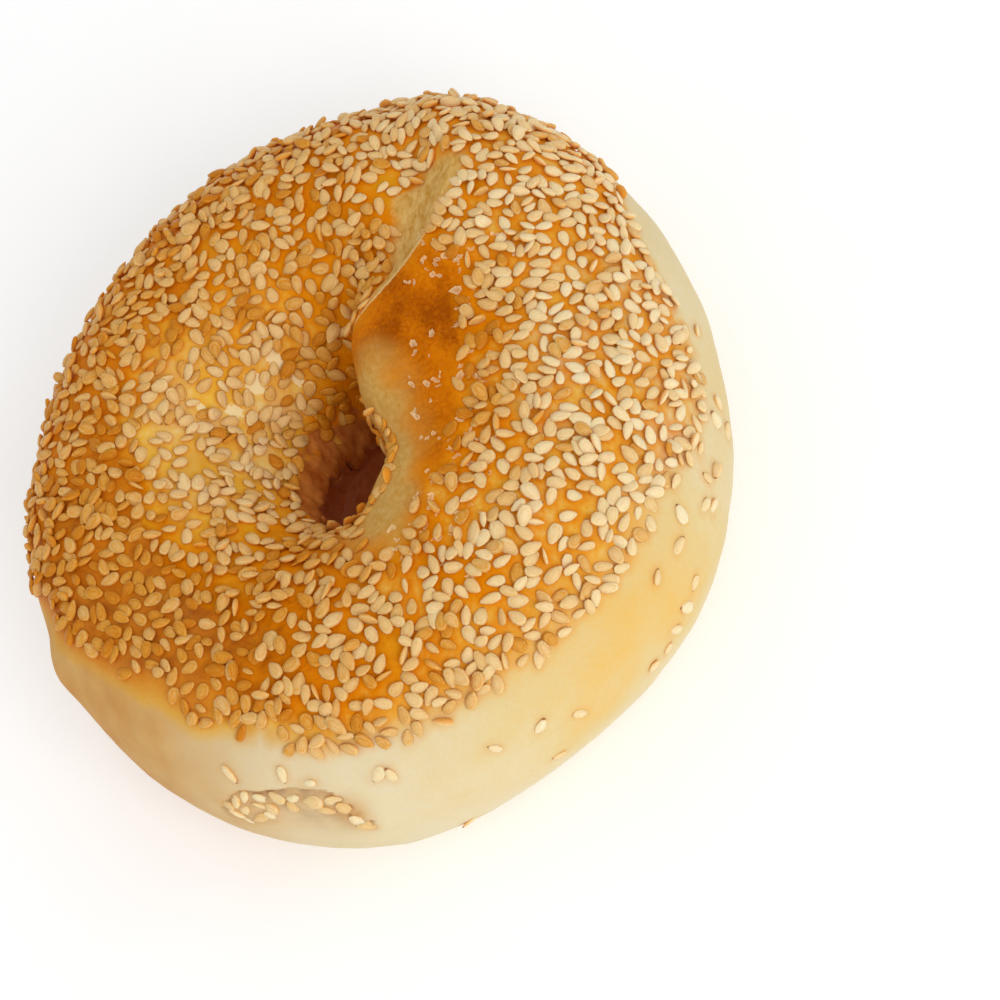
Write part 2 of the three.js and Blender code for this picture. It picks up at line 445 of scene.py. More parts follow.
browning = {
    "border": (  # ring angle, height in mm at which the seeds stop
        (-180, 22), (-165, 26), (-152, 32), (-140, 35), (-120, 35.8), (-105, 34.8),
        (-90, 32.8), (-70, 31.6), (-52, 31), (-36, 29.3), (-20, 28.3), (-5, 24), (8, 22),
        (20, 25), (32, 28), (42, 26), (52, 24), (64, 21), (120, 20), (180, 22),
    ),
    "borderUnevenness": 0.0022,
    "fade": (  # ring angle, height in mm over which the browning sets in
        (-180, 6.5), (-150, 6), (-120, 6), (-100, 7), (-60, 9), (0, 10), (14, 7), (32, 5), (50, 5),
        (70, 4), (140, 4), (180, 7),
    ),
    "fadeStart": -0.0012,
    "early": (0.0016, -148, 50),  # how much lower the browning starts, ring angle, reach
    "sideTint": (  # ring angle, browning of the side below the border
        (-180, 0.40), (-150, 0.36), (-125, 0.26), (-112, 0.18), (-100, 0.10), (-80, 0.08),
        (-65, 0.18), (-50, 0.32), (-30, 0.32), (-10, 0.16), (40, 0.12), (90, 0.26), (140, 0.38),
        (180, 0.40),
    ),
    "holeTint": 0.15,
    "baseTint": 0.36,
    "skinTint": (  # ring angle, browning of the seeded crust
        (-180, 0.84), (-158, 1.10), (-132, 1.24), (-100, 1.04), (-84, 0.82), (-71, 0.64),
        (-47, 0.43), (-20, 0.36), (0, 0.30), (20, 0.37), (46, 0.42), (75, 0.56), (96, 0.72),
        (127, 0.70), (160, 0.69), (180, 0.82),
    ),
    "innerTint": 0.72,
    "funnelTint": 0.20,
    "holeShadeTint": 0.88,
    "funnelSide": (185, 105),  # ring angle, reach
    "funnelEdge": 0.037,
    "funnelEase": 0.012,
    "palerFunnel": (0.17, 150, 60),
    "sideShade": (  # ring angle, painted shade, a dull tan, on the side below the border
        (-180, 0.55), (-150, 0.75), (-131, 0.85), (-117, 0.72), (-108, 0.42), (-97, 0.15), (-85, 0.05),
        (-60, 0.0), (90, 0.0), (140, 0.40), (180, 0.50),
    ),
    "tearEndShade": (-87.5, 5, 0.0235, 0.0032),  # ring angle, reach, height, half height of the painted shade at the end of the tear
    "lipLine": (  # ring angle, distance in mm from the middle to which the pale lip reaches
        (-105, 21.0), (-90, 23.0), (-76, 25.0), (-61, 25.0), (-48, 23.0), (-30, 16.5), (-18, 15.0),
        (4, 12.2), (26, 11.2), (46, 9.8), (60, 8.6), (75, 7.2), (88, 4.4), (98, 0.0),
    ),
    "lipEase": 0.0090,
    "lipRaggedness": 0.35,
    "lipLowest": 0.018,
    "crownLowest": 0.02,  # spots lie above this height
    "stains": (  # place, size of the egg-yellow spots
        ((0.0060, 0.0328), 0.0020), ((0.0061, 0.0360), 0.0021), ((-0.0225, -0.0060), 0.0028),
        ((-0.0080, -0.0478), 0.0018), ((-0.0056, -0.0490), 0.0014),
    ),
    "starch": (  # place, size of the white flour spots
        ((-0.0165, 0.0095), 0.0016), ((-0.0193, 0.0052), 0.0014), ((-0.0231, 0.0047), 0.0009),
        ((-0.0132, 0.0130), 0.0011), ((-0.0110, 0.0112), 0.0010), ((-0.0205, -0.0095), 0.0008),
    ),
}

bald = {  # the patch without seeds beside the lap
    "middle": (0.0103, 0.0035),
    "halfSize": (0.0106, 0.0215),
    "raggedness": (0.12, 0.10),
    "edge": (0.86, 0.22),  # share of the half size, and over which share it fades
    "lowest": (0.030, 0.004),
    "lapGap": 0.0012,
    "tint": 0.92,
    "palerTint": (0.17, 0.0105, 0.005),  # less browning towards the lap: how much, from, over
}

valley = {  # the smooth dough along the foot of the lap, measured from the lap's line
    "start": -0.0022,
    "wider": (0.0034, 0.018, 0.008),  # how much, from which y, over which length
    "narrower": (0.0050, 0.033, 0.005),
    "end": 0.0004,
    "furtherEnd": (0.0014, 0.022, 0.008),
    "softEdge": 0.0018,
    "sharpEdge": 0.0007,
    "sharpFrom": 0.031,
    "from": (0.013, 0.005),
    "to": (0.0405, 0.003),
    "lowest": 0.02,
}


def setAttribute(mesh, name, values):
    attribute = mesh.attributes.new(name, "FLOAT", "POINT")
    attribute.data.foreach_set("value", np.clip(values, 0, 1).astype(np.float32))


def spotted(x, y, spots, uneven):
    share = np.zeros(len(x))
    for (spotX, spotY), size in spots:
        away = np.hypot(x - spotX, y - spotY) / size + uneven
        share = np.maximum(share, fall(away, 1.4, 1))
    return share


def baldPatch(x, y, z, past, uneven):
    away = 0
    for side, middle, half, ragged in zip((x, y), bald["middle"], bald["halfSize"], bald["raggedness"]):
        away = away + np.abs((side - middle) / half + ragged * uneven) ** 3
    patch = 1 - rise(away ** (1 / 3), *bald["edge"])
    return patch * rise(z, *bald["lowest"]) * (past > bald["lapGap"])


def valleyStrip(y, z, past):
    wider, narrower, further = (
        share * rise(y, start, over)
        for share, start, over in (valley["wider"], valley["narrower"], valley["furtherEnd"])
    )
    start = valley["start"] - wider + narrower
    end = lapSlope(y) + valley["end"] + further
    ease = np.where(y > valley["sharpFrom"], valley["sharpEdge"], valley["softEdge"])
    strip = rise(past, start, ease) * fall(past, end, valley["sharpEdge"])
    return strip * rise(y, *valley["from"]) * fall(y, *valley["to"]) * (z > valley["lowest"])


def crustZones(places):
    look = browning
    shifted = fromMiddle(places)
    x, y, z, angle, radius = ringOf(shifted)
    outside = radius > ropeMiddle(angle)[0]
    past = lapDistance(shifted)
    broad = cloud(shifted, 0.012)
    medium = cloud(shifted, 0.005, 7.0)
    wall, under = (zone * rise(z, 0.0008, 0.0025) for zone in wallZone(shifted))
    # the crease line, coloured as painted shade, and the torn patch, darkest just under the crease as
    # painted shade
    crease, tear = tearZone(shifted)[1:]
    bare = baldPatch(x, y, z, past, medium)
    strip = valleyStrip(y, z, past)
    onCrown = z > look["crownLowest"]

    border = lengthAt(angle, look["border"]) + look["borderUnevenness"] * (broad + 0.5 * medium)
    lower, lowerAt, lowerReach = look["early"]
    over = np.where(outside, z - border + lower * around(angle, lowerAt, lowerReach), 0.05)
    browned = rise(over, look["fadeStart"], lengthAt(angle, look["fade"]))

    # browning of the side, of the base and of the seeded skin
    side = tableAt(angle, look["sideTint"]) * rise(z, 0.002, 0.016)
    side = np.where(outside, side, look["holeTint"]) * (0.9 + 0.3 * broad + 0.12 * medium)
    base = look["baseTint"] + 0.2 * broad + 0.1 * medium
    side = np.where(z < relief["baseFade"][0], base, side)
    funnel = smoothStep((look["funnelEdge"] - radius + 0.004 * medium) / look["funnelEase"])
    funnel = around(angle, *look["funnelSide"]) * funnel
    # painted shade deep in the hole: the skin turns browner and loses its gold there
    holeShade = fall(z, 0.0268, 0.006) * (radius < 0.020)
    paler, palerAt, palerReach = look["palerFunnel"]
    paler = paler * around(angle, palerAt, palerReach) * fall(radius, 0.024, 0.006)
    skin = tableAt(angle, look["skinTint"])
    skin = toward(skin, look["innerTint"], 0.6 * fall(radius, 0.036, 0.012))
    skin = toward(skin, look["funnelTint"] - paler, funnel)
    skin = toward(skin, look["holeShadeTint"], holeShade)
    palerBald, palerFrom, palerOver = bald["palerTint"]
    skin = toward(skin, bald["tint"] - palerBald * fall(x, palerFrom, palerOver), bare)
    skin = skin + 0.24 * broad + 0.14 * medium

    golden = 0.9 * funnel * (1 - holeShade) + 0.6 * np.clip(2.2 * medium - 0.3, 0, 1)
    golden = golden * browned * (1 - bare * rise(y, -0.008, 0.006))
    setting = (1 - browned) * smoothStep(browned * 5) * around(angle, -115, 62) * outside
    lip = (lengthAt(angle, look["lipLine"]) - radius) / look["lipEase"] + look["lipRaggedness"] * medium
    lip = smoothStep(0.5 + lip) * smoothStep(around(angle, 0, 130) * 2)
    lip = lip * (z > look["lipLowest"]) * (1 - wall) * (1 - 0.45 * around(angle, 75, 50))
    # painted shade, a dull tan, low on the side and at the end of the tear
    sideShade = tableAt(angle, look["sideShade"]) * outside * (1 - 0.85 * browned) * (1 + 0.3 * medium)
    endAt, endReach, endHeight, endHalf = look["tearEndShade"]
    tearEndShade = around(angle, endAt, endReach) * outside * np.exp(-(((z - endHeight) / endHalf) ** 2))
    return {
        "bake": toward(side, skin, browned),
        "golden": np.maximum(golden, 0.6 * setting),
        "valley": strip,
        "bald": bare,
        "lip": lip,
        "sideShade": np.maximum(sideShade, 0.85 * tearEndShade),
        "stain": spotted(x, y, look["stains"], 0.8 * medium) * onCrown * (1 - strip),
        "starch": spotted(x, y, look["starch"], 0.5 * medium) * onCrown,
        "browned": browned,
        "tear": tear,
        "crease": crease,
        "wall": wall,
        "under": under,
    }


zones = crustZones(readPlaces(crust.data))
print("crust zones worked out")


# Seeds

seedKinds = {
    "plumpSeeds": {"size": (0.00285, 0.00182, 0.00105), "point": 0.62, "flatness": 0.88, "share": 0.44},
    "flatSeeds": {"size": (0.00272, 0.00190, 0.00078), "point": 0.72, "flatness": 0.80, "share": 0.36},
    "slimSeeds": {"size": (0.00278, 0.00150, 0.00088), "point": 0.56, "flatness": 0.92, "share": 0.20},
}

scatter = {
    "tries": 13500,
    "upperTries": 5200,
    "randomStart": 91,
    "upperFrom": 0.62,  # cover above which seeds lie on seeds
    "discOffsets": (-0.00076, 0.00002, 0.00080),  # a seed takes the room of three discs in a row
    "discRadius": 0.00078,
    "seedReach": 0.0060,  # seeds further off are never in the way
    "room": 0.66,  # under 1 the seeds may overlap a little
    "upperRoom": 0.42,
    "leastPiled": 0.2,
    "sizeSpread": 0.10,
    "widthSpread": 0.7,  # share of the size's spread
    "sunk": 0.22,  # share of its thickness that lies in the crust
    "sunkBorder": 0.46,
    "tilt": 12,  # degrees
    "pitchShare": 0.6,  # tilt along the seed, as a share of that across it
    "lean": 30,
    "leanShares": (0.5, 1.0),
    "piledRise": (0.45, 0.75),  # shares of its thickness
    "onEdge": 0.08,
    "edgeTilt": (50, 90),
    "edgeRise": 0.26,
    "highest": 0.0435,
    "toast": (  # ring angle, how brown the seeds are
        (-180, 0.60), (-158, 0.65), (-132, 0.66), (-100, 0.59), (-71, 0.38), (-47, 0.24),
        (-20, 0.14), (0, 0.10), (20, 0.11), (46, 0.15), (75, 0.27), (96, 0.43), (127, 0.53),
        (160, 0.60), (180, 0.60),
    ),
    "funnelToast": 0.32,
    "nearToast": 0.58,
    "holeShadeToast": 0.36,
    "toastSpread": 0.40,
    "scorched": 0.13,  # share of the seeds that are much browner
    "scorch": 0.34,
    "seedShadeAndGlow": (0.0006, 0.0012),  # painted shade and glow on the crust round a seed: from its discs, over
}


def selectRing(piece, x, spread):
    editMesh = bmesh.from_edit_mesh(piece.data)
    for vertex in editMesh.verts:
        vertex.select_set(abs(vertex.co.x - x) < spread)
    editMesh.select_flush(True)
    bmesh.update_edit_mesh(piece.data)


def modelSeed(name, look):
    # a ball with its poles at the two ends, narrowed ring by ring into a drop
    bpy.ops.mesh.primitive_uv_sphere_add(segments=8, ring_count=6, radius=0.5)
    piece = bpy.context.object
    piece.name = name + "Model"
    bpy.ops.object.mode_set(mode="EDIT")
    bpy.ops.mesh.select_all(action="SELECT")
    bpy.ops.transform.rotate(value=math.pi / 2, orient_axis="Y", center_override=(0, 0, 0))
    for x, factor in ((0.433, look["point"]), (0.25, 0.82), (-0.25, 1.08), (-0.433, 1.34)):
        selectRing(piece, x, 0.02)
        bpy.ops.transform.resize(value=(1, factor, factor), center_override=(x, 0, 0))
    bpy.ops.mesh.select_all(action="SELECT")
    bpy.ops.transform.resize(value=look["size"], center_override=(0, 0, 0))
    bpy.ops.object.mode_set(mode="OBJECT")
    places = readPlaces(piece.data)
    crownLine = np.abs(places[:, 1]) < 0.00005
    places[crownLine, 2] *= look["flatness"]
    faces = [tuple(face.vertices) for face in piece.data.polygons]
    bpy.data.objects.remove(piece)
    return places, faces


def vertexNormals(mesh):
    normals = np.empty(len(mesh.vertices) * 3, dtype=np.float32)
    mesh.vertex_normals.foreach_get("vector", normals)
    return normals.reshape(-1, 3).astype(float)


def seedCover(places, zones):
    # the share of the crust that seeds cover, from 0 to 1
    shifted = fromMiddle(places)
    z, angle, radius = ringOf(shifted)[2:]
    outside = radius > ropeMiddle(angle)[0]
    border = lengthAt(angle, browning["border"]) + 0.0013 * cloud(shifted, 0.007, 3.0)
    cover = 0.80 + 0.18 * around(angle, 120, 110) + 0.16 * cloud(shifted, 0.009, 11.0)
    cover = cover + 0.22 * around(angle, 88, 55) * rise(radius, 0.034, 0.008)
    cover = cover + 0.26 * cloud(shifted, 0.0035, 12.0)
    cover = cover - 0.34 * around(angle, -42, 40) * fall(radius, 0.036, 0.010)
    cover = cover - 0.45 * around(angle, 115, 50) * fall(radius, 0.018, 0.006)
    cover = np.where(outside, cover, np.minimum(cover, 0.84))
    cover = np.clip(cover, 0, 0.97) * np.where(outside, rise(z, border, 0.0010), rise(z, 0.014, 0.004))
    bareLip = zones["lip"] * around(angle, -52, 42) * (radius > 0.0165)
    bare = np.maximum(np.maximum(zones["bald"], zones["valley"]), np.maximum(bareLip, zones["wall"]))
    bare = np.maximum(bare, np.maximum(0.5 * zones["starch"], 0.7 * zones["stain"]))
    return cover * (1 - smoothStep(bare * 1.6))


def directed(up, turn):
    # a direction along the surface
    side = np.cross(up, (0.3, 0.2, 0.93))
    side = side / np.linalg.norm(side, axis=-1, keepdims=True)
    return side * np.cos(turn) + np.cross(up, side) * np.sin(turn)


def basisOf(up, along):
    return np.stack([along, np.cross(up, along), up], axis=1)


def crustSampler(mesh, rate, random):
    mesh.calc_loop_triangles()
    corners = np.empty(len(mesh.loop_triangles) * 3, dtype=np.int32)
    mesh.loop_triangles.foreach_get("vertices", corners)
    corners = corners.reshape(-1, 3)
    places, normals = readPlaces(mesh), vertexNormals(mesh)
    a, b, c = (places[corners[:, side]] for side in range(3))
    area = np.linalg.norm(np.cross(b - a, c - a), axis=1) / 2
    chance = area * rate[corners].mean(axis=1)
    chance = chance / chance.sum()

    def sample(count):
        tries = random.choice(len(corners), size=count, p=chance)
        blend = random.dirichlet((1, 1, 1), size=count)
        spots = np.einsum("nk,nkd->nd", blend, places[corners[tries]])
        ups = np.einsum("nk,nkd->nd", blend, normals[corners[tries]])
        ups = ups / np.linalg.norm(ups, axis=1)[:, None]
        return spots, ups, directed(ups, random.uniform(0, 2 * math.pi, count)[:, None])

    return sample


class Discs:
    def __init__(self, most):
        self.places = np.empty((most, 3, 3))
        self.count = 0

    def add(self, mine):
        self.places[self.count] = mine
        self.count += 1


def layOut(sample, count, discs, closest, leastPiled, look):
    # keeps the tries that aren't too close to a seed, and notes how far they lie over their neighbour
    offsets = np.array(look["discOffsets"])
    kept = []
    for spot, up, along in zip(*sample(count)):
        mine = spot + offsets[:, None] * along
        others = discs.places[: discs.count, 1]
        near = np.nonzero(((others - spot) ** 2).sum(axis=1) < look["seedReach"] ** 2)[0]
        overlap, lean = 0.0, None
        if len(near):
            gaps = np.linalg.norm(discs.places[near][:, :, None] - mine[None, None], axis=3)
            gaps = gaps.min(axis=(1, 2))
            gap = gaps.min() / (look["discRadius"] * 2)
            if gap < closest:
                continue
            overlap = min(max((0.95 - gap) / 0.45, 0.0), 1.0)
            lean = others[near[np.argmin(gaps)]] - spot
        if overlap < leastPiled:
            continue
        kept.append({"spot": spot, "up": up, "along": along, "lean": lean, "overlap": overlap})
        discs.add(mine)
    return kept


def scatterSeeds(mesh, zones, look):
    random = np.random.default_rng(look["randomStart"])
    cover = seedCover(readPlaces(mesh), zones)
    sample = crustSampler(mesh, -np.log(1 - cover), random)
    discs = Discs(look["tries"])
    lower = layOut(sample, look["tries"], discs, look["room"], 0, look)
    sample = crustSampler(mesh, np.clip(cover - look["upperFrom"], 0, 1), random)
    upper = layOut(sample, look["upperTries"], discs, look["upperRoom"], look["leastPiled"], look)
    return lower, upper, random


strays = {
    "onSide": {
        "radius": 0.057,
        "sunk": (0.35, 0.60),
        "toast": (0.05, 0.35),
        "tip": 1.0,
        "places": (  # ring angle, height in mm
            (-104, 32), (-95, 33), (-92, 31), (-81, 31), (-79, 30), (-75, 7), (-64, 26), (-58, 13),
            (-56, 24), (-51, 20), (-38, 13), (-35, 12), (-32, 15), (-29, 16), (-28, 28), (-25, 18),
            (-22, 26), (-18, 28), (-14, 23), (-13, 20), (-10, 24), (-8, 22), (-6, 27), (1, 17),
            (1, 22), (5, 20), (8, 27), (17, 24), (78, 12), (118, 13), (141, 15),
        ),
    },
    "inTear": {
        "radius": 0.057,
        "sunk": (0.50, 0.80),
        "toast": (0.15, 0.50),
        "tip": 0.6,
        "places": (
            (-107, 24), (-106, 22), (-105, 20), (-105, 25), (-104, 23), (-103, 21), (-103, 26),
            (-102, 24), (-101, 22), (-101, 26), (-100, 24), (-98, 27), (-96, 25), (-95, 27),
            (-93, 26), (-91, 24), (-89, 27), (-88, 25), (-87, 22), (-86, 20),
        ),
    },
    "onRim": {
        "height": 0.0368,
        "sunk": (0.30, 0.55),
        "toast": (0.60, 0.90),
        "tip": 0.0,
        "places": (  # ring angle, distance in mm from the middle, along the edge of the lip
            (-4, 5.8), (-19, 7.2), (-23, 8.2), (-28, 9.4), (-31, 10.8), (-35, 11.8), (-38, 12.6),
            (-42, 13.4), (-46, 14.4), (-50, 15.4), (-55, 15.8), (-60, 15.6), (-65, 15.8),
            (-70, 16.8), (-76, 17.4), (-83, 18.0), (-90, 19.0),
        ),
    },
    "onWall": {
        "radius": 0.013,
        "sunk": (0.20, 0.50),
        "toast": (0.70, 1.0),
        "tip": 0.0,
        "places": (
            (138, 24), (127, 23), (150, 20), (143, 22), (-172, 18), (164, 22), (121, 21),
            (117, 27), (151, 17), (-173, 21), (170, 14), (132, 19),
        ),
    },
}


def ringPlace(angle, radius, height):
    turn = math.radians(angle)
    return (radius * math.cos(turn), radius * math.sin(turn), height)


def strayPlaces(look):
    # the second number of a pair is the height on a wall, or else the distance on the crown
    if "radius" in look:
        return [ringPlace(angle, look["radius"], height * 0.001) for angle, height in look["places"]]
    return [ringPlace(angle, reach * 0.001, look["height"]) for angle, reach in look["places"]]


def findStrays(mesh, look, random):
    # seeds half sunk in the dough, many of them with a scorched point
    tree = KDTree(len(mesh.vertices))
    for number, vertex in enumerate(mesh.vertices):
        tree.insert(vertex.co, number)
    tree.balance()
    normals = vertexNormals(mesh)
    entries = []
    for place in strayPlaces(look):
        spot, number = tree.find(Vector(place) + Vector((*dough["centre"], 0.0)))[:2]
        entries.append({
            "spot": np.array(spot),
            "up": normals[number],
            "along": directed(normals[number], random.uniform(0, 2 * math.pi)),
            "lean": None,
            "overlap": 0.0,
            "sunk": random.uniform(*look["sunk"]),
            "toast": random.uniform(*look["toast"]),
            "tip": look["tip"],
        })
    return entries


def seedDepth(entry, look):
    # the dough has risen around the seeds near the pale side
    z, angle, radius = ringOf(entry["spot"])[2:]
    nearSide = fall(z, 0.0345, 0.006) * around(angle, -35, 100) * rise(radius, 0.036, 0.006)
    return toward(look["sunk"], look["sunkBorder"], float(nearSide))


def seedTurn(entry, look, random, thickness, width):
    # the seed's own tilt and how far its middle stands over the crust
    roll = turned(random.normal(0, look["tilt"]), "X")
    turn = roll @ turned(random.normal(0, look["tilt"] * look["pitchShare"]), "Y")
    lift = thickness * (0.5 - entry.get("sunk", seedDepth(entry, look)))
    if entry["overlap"] > 0:
        across = np.cross(entry["up"], entry["along"])
        axis = Vector((-entry["lean"] @ across, entry["lean"] @ entry["along"], 0)).normalized()
        degrees = -look["lean"] * entry["overlap"] * random.uniform(*look["leanShares"])
        turn = turn @ turned(degrees, axis)
        lift = lift + thickness * entry["overlap"] * random.uniform(*look["piledRise"])
    elif random.random() < look["onEdge"]:
        turn = turned(random.uniform(*look["edgeTilt"]) * random.choice((-1, 1)), "X")
        lift = width * look["edgeRise"]
    return np.array(turn), lift


def seedToast(spot, random, look):
    # the seeds are browner on the far and the left side, and darker deep in the hole as painted shade
    z, angle, radius = ringOf(spot)[2:]
    inner = toward(look["nearToast"], look["funnelToast"], around(angle, *browning["funnelSide"]))
    toast = toward(tableAt(angle, look["toast"]), inner, fall(radius, 0.036, 0.012))
    holeShade = fall(z, 0.0285, 0.008) * (radius < 0.022)
    toast = toast + look["holeShadeToast"] * holeShade + look["toastSpread"] * random.beta(1.6, 3.0)
    if random.random() < look["scorched"]:
        toast = toast + look["scorch"]
    return min(max(float(toast), 0.0), 1.0)


def seedTip(spot, random):
    # more seeds show a brown point in the funnel and low on the side
    z, angle, radius = ringOf(spot)[2:]
    funnel = around(angle, *browning["funnelSide"]) * fall(radius, 0.034, 0.006)
    chance = 0.07 + 0.33 * funnel + 0.30 * fall(z, 0.032, 0.003) * around(angle, -30, 60)
    return float(random.random() < chance)


def meshFrom(name, shapes, faces):
    # one mesh of many copies of a small shape, each already in its place
    count = len(shapes[0])
    allFaces = [tuple(v + count * n for v in face) for n in range(len(shapes)) for face in faces]
    mesh = bpy.data.meshes.new(name)
    mesh.from_pydata(np.concatenate(shapes).tolist(), [], allFaces)
    mesh.update()
    mesh.shade_smooth()
    piece = bpy.data.objects.new(name, mesh)
    bpy.context.scene.collection.objects.link(piece)
    return piece


def buildSeeds(name, model, entries, random, look, material):
    places, faces = model
    size = seedKinds[name]["size"]
    shapes, toasts, tips = [], [], []
    for entry in entries:
        turn, lift = seedTurn(entry, look, random, size[2], size[1])
        grow = 1 + random.normal(0, look["sizeSpread"])
        widen = 1 + random.normal(0, look["sizeSpread"] * look["widthSpread"])
        basis = basisOf(entry["up"], entry["along"])
        shape = (places * (grow, grow * widen, grow)) @ turn.T @ basis.T
        shape = shape + entry["spot"] + entry["up"] * lift
        shape[:, 2] -= max(shape[:, 2].max() - look["highest"], 0.0)
        shapes.append(shape)
        toasts.append(entry.get("toast", seedToast(entry["spot"], random, look)))
        tips.append(entry.get("tip", seedTip(entry["spot"], random)))
    piece = meshFrom(name, shapes, faces)
    setAttribute(piece.data, "toast", np.repeat(toasts, len(places)))
    setAttribute(piece.data, "tip", np.repeat(tips, len(places)))
    for axis, attribute in enumerate(("along", "across", "upper")):
        setAttribute(piece.data, attribute, np.tile(places[:, axis] / size[axis] + 0.5, len(entries)))
    piece.data.materials.append(material)
    return piece


# Materials

def seen(red, green, blue):
    # a colour as the eye reads it, 0 to 255, in the linear numbers that the shader takes
    def linear(value):
        value = value / 255
        return value / 12.92 if value <= 0.04045 else ((value + 0.055) / 1.055) ** 2.4
    return (linear(red), linear(green), linear(blue), 1.0)


class Finish:
    def __init__(self, name):
        self.material = bpy.data.materials.new(name)
        self.material.use_nodes = True
        self.nodes = self.material.node_tree.nodes
        self.links = self.material.node_tree.links
        self.shader = self.nodes["Principled BSDF"]
        self.place = self.nodes.new("ShaderNodeTexCoord").outputs["Object"]

    def put(self, node, inputs):
        # an input is a number, a colour or the output of another node
        for socket, value in inputs.items():
            if isinstance(value, bpy.types.NodeSocket):
                self.links.new(value, node.inputs[socket])
            else:
                node.inputs[socket].default_value = value

    def add(self, kind, inputs, **settings):
        node = self.nodes.new("ShaderNode" + kind)
        for name, value in settings.items():
            setattr(node, name, value)
        self.put(node, inputs)
        return node

    def noise(self, scale, detail=2.0, roughness=0.5, place=None):
        inputs = {"Scale": scale, "Detail": detail, "Roughness": roughness, "Vector": place or self.place}
        return self.add("TexNoise", inputs).outputs["Fac"]

    def attribute(self, name):
        return self.add("Attribute", {}, attribute_name=name).outputs["Fac"]

    def math(self, operation, *values, clamp=False):
        node = self.add("Math", dict(enumerate(values)), operation=operation, use_clamp=clamp)
        return node.outputs[0]

    def times(self, first, *others, clamp=False):
        for other in others:
            first = self.math("MULTIPLY", first, other, clamp=clamp)
        return first

    def vary(self, value, noise, amount, clamp=False):
        # a value that follows a noise, which lies around 0.5
        return self.math("MULTIPLY_ADD", self.math("SUBTRACT", noise, 0.5), amount, value, clamp=clamp)

    def ramp(self, factor, *stops):
        # a stop is a place and a colour as the eye reads it, or a plain share
        node = self.add("ValToRGB", {"Fac": factor})
        elements = node.color_ramp.elements
        while len(elements) < len(stops):
            elements.new(0.5)
        for element, (position, color) in zip(elements, stops):
            element.position = position
            element.color = seen(*color) if isinstance(color, tuple) else (color, color, color, 1)
        return node.outputs["Color"]

    def mix(self, factor, first, second):
        return self.add("Mix", {0: factor, 6: first, 7: second}, data_type="RGBA").outputs[2]

    def cover(self, color, zone, over, strength=None):
        # lays a colour over the zone that an attribute tells
        share = self.attribute(zone)
        if strength is not None:
            share = self.math("MULTIPLY", share, strength)
        return self.mix(share, color, over)

    def bump(self, height, strength, distance, normal=None):
        node = self.add("Bump", {"Height": height, "Strength": strength, "Distance": distance})
        if normal is not None:
            self.links.new(normal, node.inputs["Normal"])
        return node.outputs["Normal"]


crest = {  # the thin light line along the edge of the lap, in the lap's own measures
    "halfWidth": 0.00030,
    "aside": 0.0019,
    "shift": (0.007, 125, -0.0015),  # the line comes nearer: from, how fast, how much
    "grain": 1400,
    "raggedness": 0.0012,
    "core": 1.6,
    "end": (0.001, 500),
    "start": (0.021, 300),
    "lowest": 0.03,
    "strength": 0.8,
}


def crestLine(look):
    # 1 along the edge of the lap, from lapDistance in the bagel's own place
    axes = look.add("SeparateXYZ", {"Vector": look.place}).outputs
    along = look.math("SUBTRACT", axes["Y"], dough["centre"][1] + lap["lineY"])
    bent = look.times(along, along, lap["nearBend"])
    beside = look.math("SUBTRACT", axes["X"], dough["centre"][0] + lap["lineX"])
    before, speed, move = crest["shift"]
    shift = look.times(look.math("ADD", along, before), speed, clamp=True)
    past = look.math("MULTIPLY_ADD", shift, move, look.math("ADD", beside, bent))
    past = look.vary(past, look.noise(crest["grain"]), crest["raggedness"])
    away = look.math("ABSOLUTE", look.math("SUBTRACT", past, crest["aside"]))
    away = look.math("DIVIDE", away, crest["halfWidth"])
    line = look.math("SUBTRACT", crest["core"], away, clamp=True)
    ending = look.times(look.math("SUBTRACT", crest["end"][0], along), crest["end"][1], clamp=True)
    start = look.times(look.math("ADD", along, crest["start"][0]), crest["start"][1], clamp=True)
    above = look.math("GREATER_THAN", axes["Z"], crest["lowest"])
    return look.times(line, look.times(ending, start, above), crest["strength"])


crustColors = {  # place in the ramp and colour, from pale to brown
    "baked": (
        (0.02, (224, 212, 180)), (0.20, (221, 197, 141)), (0.42, (230, 178, 72)),
        (0.66, (224, 136, 10)), (0.86, (202, 108, 2)), (1.0, (158, 74, 0)),
    ),
    "golden": (
        (0.0, (236, 208, 142)), (0.32, (234, 186, 68)), (0.65, (226, 158, 28)), (1.0, (200, 120, 4)),
    ),
    "sideShade": ((0.2, (191, 127, 58)), (0.8, (206, 152, 86))),
    "lip": ((0.3, (194, 146, 62)), (0.7, (212, 176, 104))),
    "valley": ((0.35, (198, 144, 56)), (0.66, (230, 192, 118))),
    "tear": ((0.3, (168, 120, 68)), (0.6, (206, 166, 114))),
    "crease": ((0.4, (142, 84, 38)), (0.62, (196, 146, 88))),
    "wall": ((0.3, (164, 84, 26)), (0.7, (206, 130, 60))),
}

crustLook = {
    "Specular IOR Level": 0.04,
    "Specular Tint": (1.0, 0.72, 0.36, 1.0),
    "Subsurface Weight": 0.08,
    "Subsurface Radius": (0.0020, 0.0012, 0.0005),
    "Subsurface Scale": 1.0,
}


